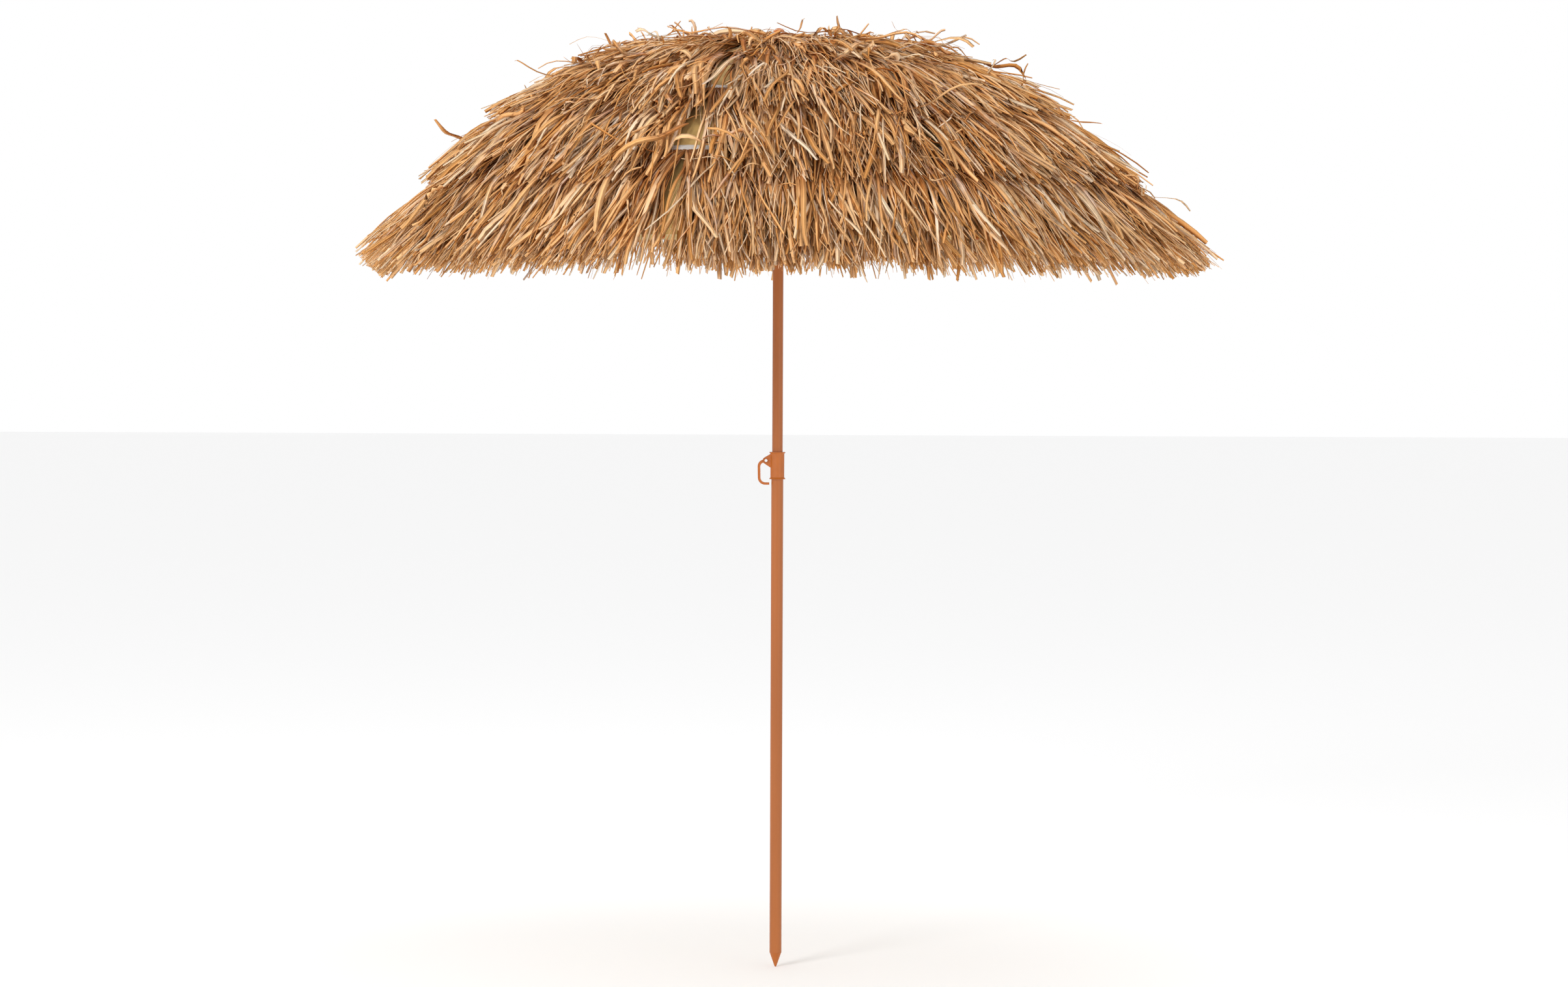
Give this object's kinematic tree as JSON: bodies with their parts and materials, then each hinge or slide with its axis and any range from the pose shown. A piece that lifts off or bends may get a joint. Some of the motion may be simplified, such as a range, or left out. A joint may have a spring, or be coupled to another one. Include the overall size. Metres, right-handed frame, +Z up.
{
  "type": "beach umbrella",
  "caption": "Thatched beach umbrella on a two-tube spiked pole with a hook-lever clamp; ribs fold down with a sliding runner under a tiered raffia canopy.",
  "frame": {"origin": "point of the ground spike, on the pole's axis", "axes": "+Z up the pole; the front is -Y; the clamp lever hangs towards -X"},
  "size_m": [1.7302, 1.7302, 1.95],
  "materials": {
    "tube_paint": "satin",
    "moulded_plastic": "satin",
    "bush_plastic": "matte",
    "rib_steel": "satin",
    "zinc_steel": "satin",
    "raffia_thatch": "satin",
    "canopy_fabric": "matte"
  },
  "bodies": {
    "lower_pole": {"lower_tube": "tube_paint", "spike_tip": "moulded_plastic", "clamp_collar": "moulded_plastic", "lever_rivet": "tube_paint"},
    "clamp_lever": {"clamp_lever": "moulded_plastic"},
    "guide_bushing": {"guide_bushing": "bush_plastic"},
    "upper_pole": {"upper_tube": "tube_paint", "crown_hub": "moulded_plastic", "crown_wire": "zinc_steel", "crown_plug": "bush_plastic", "thatch_cap": "canopy_fabric", "crown_washer": "zinc_steel", "finial": "moulded_plastic", "runner_stop_pin": "zinc_steel"},
    "runner_catch": {"runner_catch": "zinc_steel"},
    "runner": {"runner": "moulded_plastic", "runner_wire": "zinc_steel"},
    "rib_1": {"rib_1": "rib_steel", "rib_clip_1": "zinc_steel", "rib_tip_1": "moulded_plastic", "canopy_gore_1": "raffia_thatch"},
    "rib_2": {"rib_2": "rib_steel", "rib_clip_2": "zinc_steel", "rib_tip_2": "moulded_plastic", "canopy_gore_2": "raffia_thatch"},
    "rib_3": {"rib_3": "rib_steel", "rib_clip_3": "zinc_steel", "rib_tip_3": "moulded_plastic", "canopy_gore_3": "raffia_thatch"},
    "rib_4": {"rib_4": "rib_steel", "rib_clip_4": "zinc_steel", "rib_tip_4": "moulded_plastic", "canopy_gore_4": "raffia_thatch"},
    "rib_5": {"rib_5": "rib_steel", "rib_clip_5": "zinc_steel", "rib_tip_5": "moulded_plastic", "canopy_gore_5": "raffia_thatch"},
    "rib_6": {"rib_6": "rib_steel", "rib_clip_6": "zinc_steel", "rib_tip_6": "moulded_plastic", "canopy_gore_6": "raffia_thatch"},
    "rib_7": {"rib_7": "rib_steel", "rib_clip_7": "zinc_steel", "rib_tip_7": "moulded_plastic", "canopy_gore_7": "raffia_thatch"},
    "rib_8": {"rib_8": "rib_steel", "rib_clip_8": "zinc_steel", "rib_tip_8": "moulded_plastic", "canopy_gore_8": "raffia_thatch"},
    "stretcher_1": {"stretcher_1": "rib_steel"},
    "stretcher_2": {"stretcher_2": "rib_steel"},
    "stretcher_3": {"stretcher_3": "rib_steel"},
    "stretcher_4": {"stretcher_4": "rib_steel"},
    "stretcher_5": {"stretcher_5": "rib_steel"},
    "stretcher_6": {"stretcher_6": "rib_steel"},
    "stretcher_7": {"stretcher_7": "rib_steel"},
    "stretcher_8": {"stretcher_8": "rib_steel"}
  },
  "joints": [
    {"name": "clamp_lever_swing", "type": "hinge", "parent": "lower_pole", "child": "clamp_lever", "pos_m": [-0.0236, 0, 1.0564], "axis": [0, 1, 0], "range_deg": [0, 75]},
    {"name": "pole_telescope", "type": "slide", "parent": "lower_pole", "child": "guide_bushing", "axis": [0, 0, 1], "range_m": [-0.25, 0]},
    {"name": "upper_pole_turn", "type": "hinge", "parent": "guide_bushing", "child": "upper_pole", "pos_m": [0, 0, 0.9], "axis": [0, 0, 1], "continuous": true},
    {"name": "catch_press", "type": "slide", "parent": "upper_pole", "child": "runner_catch", "axis": [0, 1, 0], "range_m": [0, 0.0036], "stiffness_N_per_m": 600, "springref_m": -0.002},
    {"name": "runner_slide", "type": "slide", "parent": "upper_pole", "child": "runner", "axis": [0, 0, 1], "range_m": [-0.4593, 0]},
    {"name": "rib_1_fold", "type": "hinge", "parent": "upper_pole", "child": "rib_1", "pos_m": [-0.00606, -0.02115, 1.9185], "axis": [0.9613, -0.2756, 0], "range_deg": [0, 59.6], "deforming": ["canopy_gore_1"]},
    {"name": "rib_2_fold", "type": "hinge", "parent": "upper_pole", "child": "rib_2", "pos_m": [0.01067, -0.01924, 1.9185], "axis": [0.8746, 0.4848, 0], "range_deg": [0, 59.6], "deforming": ["canopy_gore_2"]},
    {"name": "rib_3_fold", "type": "hinge", "parent": "upper_pole", "child": "rib_3", "pos_m": [0.02115, -0.00606, 1.9185], "axis": [0.2756, 0.9613, 0], "range_deg": [0, 59.6], "deforming": ["canopy_gore_3"]},
    {"name": "rib_4_fold", "type": "hinge", "parent": "upper_pole", "child": "rib_4", "pos_m": [0.01924, 0.01067, 1.9185], "axis": [-0.4848, 0.8746, 0], "range_deg": [0, 59.6], "deforming": ["canopy_gore_4"]},
    {"name": "rib_5_fold", "type": "hinge", "parent": "upper_pole", "child": "rib_5", "pos_m": [0.00606, 0.02115, 1.9185], "axis": [-0.9613, 0.2756, 0], "range_deg": [0, 59.6], "deforming": ["canopy_gore_5"]},
    {"name": "rib_6_fold", "type": "hinge", "parent": "upper_pole", "child": "rib_6", "pos_m": [-0.01067, 0.01924, 1.9185], "axis": [-0.8746, -0.4848, 0], "range_deg": [0, 59.6], "deforming": ["canopy_gore_6"]},
    {"name": "rib_7_fold", "type": "hinge", "parent": "upper_pole", "child": "rib_7", "pos_m": [-0.02115, 0.00606, 1.9185], "axis": [-0.2756, -0.9613, 0], "range_deg": [0, 59.6], "deforming": ["canopy_gore_7"]},
    {"name": "rib_8_fold", "type": "hinge", "parent": "upper_pole", "child": "rib_8", "pos_m": [-0.01924, -0.01067, 1.9185], "axis": [0.4848, -0.8746, 0], "range_deg": [0, 59.6], "deforming": ["canopy_gore_8"]},
    {"name": "stretcher_1_fold", "type": "hinge", "parent": "rib_1", "child": "stretcher_1", "pos_m": [-0.08723, -0.3042, 1.86962], "axis": [0.9613, -0.2756, 0], "range_deg": [-119.2, 0]},
    {"name": "stretcher_2_fold", "type": "hinge", "parent": "rib_2", "child": "stretcher_2", "pos_m": [0.15342, -0.27679, 1.86962], "axis": [0.8746, 0.4848, 0], "range_deg": [-119.2, 0]},
    {"name": "stretcher_3_fold", "type": "hinge", "parent": "rib_3", "child": "stretcher_3", "pos_m": [0.3042, -0.08723, 1.86962], "axis": [0.2756, 0.9613, 0], "range_deg": [-119.2, 0]},
    {"name": "stretcher_4_fold", "type": "hinge", "parent": "rib_4", "child": "stretcher_4", "pos_m": [0.27679, 0.15342, 1.86962], "axis": [-0.4848, 0.8746, 0], "range_deg": [-119.2, 0]},
    {"name": "stretcher_5_fold", "type": "hinge", "parent": "rib_5", "child": "stretcher_5", "pos_m": [0.08723, 0.3042, 1.86962], "axis": [-0.9613, 0.2756, 0], "range_deg": [-119.2, 0]},
    {"name": "stretcher_6_fold", "type": "hinge", "parent": "rib_6", "child": "stretcher_6", "pos_m": [-0.15342, 0.27679, 1.86962], "axis": [-0.8746, -0.4848, 0], "range_deg": [-119.2, 0]},
    {"name": "stretcher_7_fold", "type": "hinge", "parent": "rib_7", "child": "stretcher_7", "pos_m": [-0.3042, 0.08723, 1.86962], "axis": [-0.2756, -0.9613, 0], "range_deg": [-119.2, 0]},
    {"name": "stretcher_8_fold", "type": "hinge", "parent": "rib_8", "child": "stretcher_8", "pos_m": [-0.27679, -0.15342, 1.86962], "axis": [0.4848, -0.8746, 0], "range_deg": [-119.2, 0]}
  ],
  "couplings": [
    {"joint": "rib_1_fold", "follows": "runner_slide", "rad_per_m": -2.261},
    {"joint": "rib_2_fold", "follows": "runner_slide", "rad_per_m": -2.261},
    {"joint": "rib_3_fold", "follows": "runner_slide", "rad_per_m": -2.261},
    {"joint": "rib_4_fold", "follows": "runner_slide", "rad_per_m": -2.261},
    {"joint": "rib_5_fold", "follows": "runner_slide", "rad_per_m": -2.261},
    {"joint": "rib_6_fold", "follows": "runner_slide", "rad_per_m": -2.261},
    {"joint": "rib_7_fold", "follows": "runner_slide", "rad_per_m": -2.261},
    {"joint": "rib_8_fold", "follows": "runner_slide", "rad_per_m": -2.261},
    {"joint": "stretcher_1_fold", "follows": "runner_slide", "rad_per_m": 4.522},
    {"joint": "stretcher_2_fold", "follows": "runner_slide", "rad_per_m": 4.522},
    {"joint": "stretcher_3_fold", "follows": "runner_slide", "rad_per_m": 4.522},
    {"joint": "stretcher_4_fold", "follows": "runner_slide", "rad_per_m": 4.522},
    {"joint": "stretcher_5_fold", "follows": "runner_slide", "rad_per_m": 4.522},
    {"joint": "stretcher_6_fold", "follows": "runner_slide", "rad_per_m": 4.522},
    {"joint": "stretcher_7_fold", "follows": "runner_slide", "rad_per_m": 4.522},
    {"joint": "stretcher_8_fold", "follows": "runner_slide", "rad_per_m": 4.522}
  ]
}
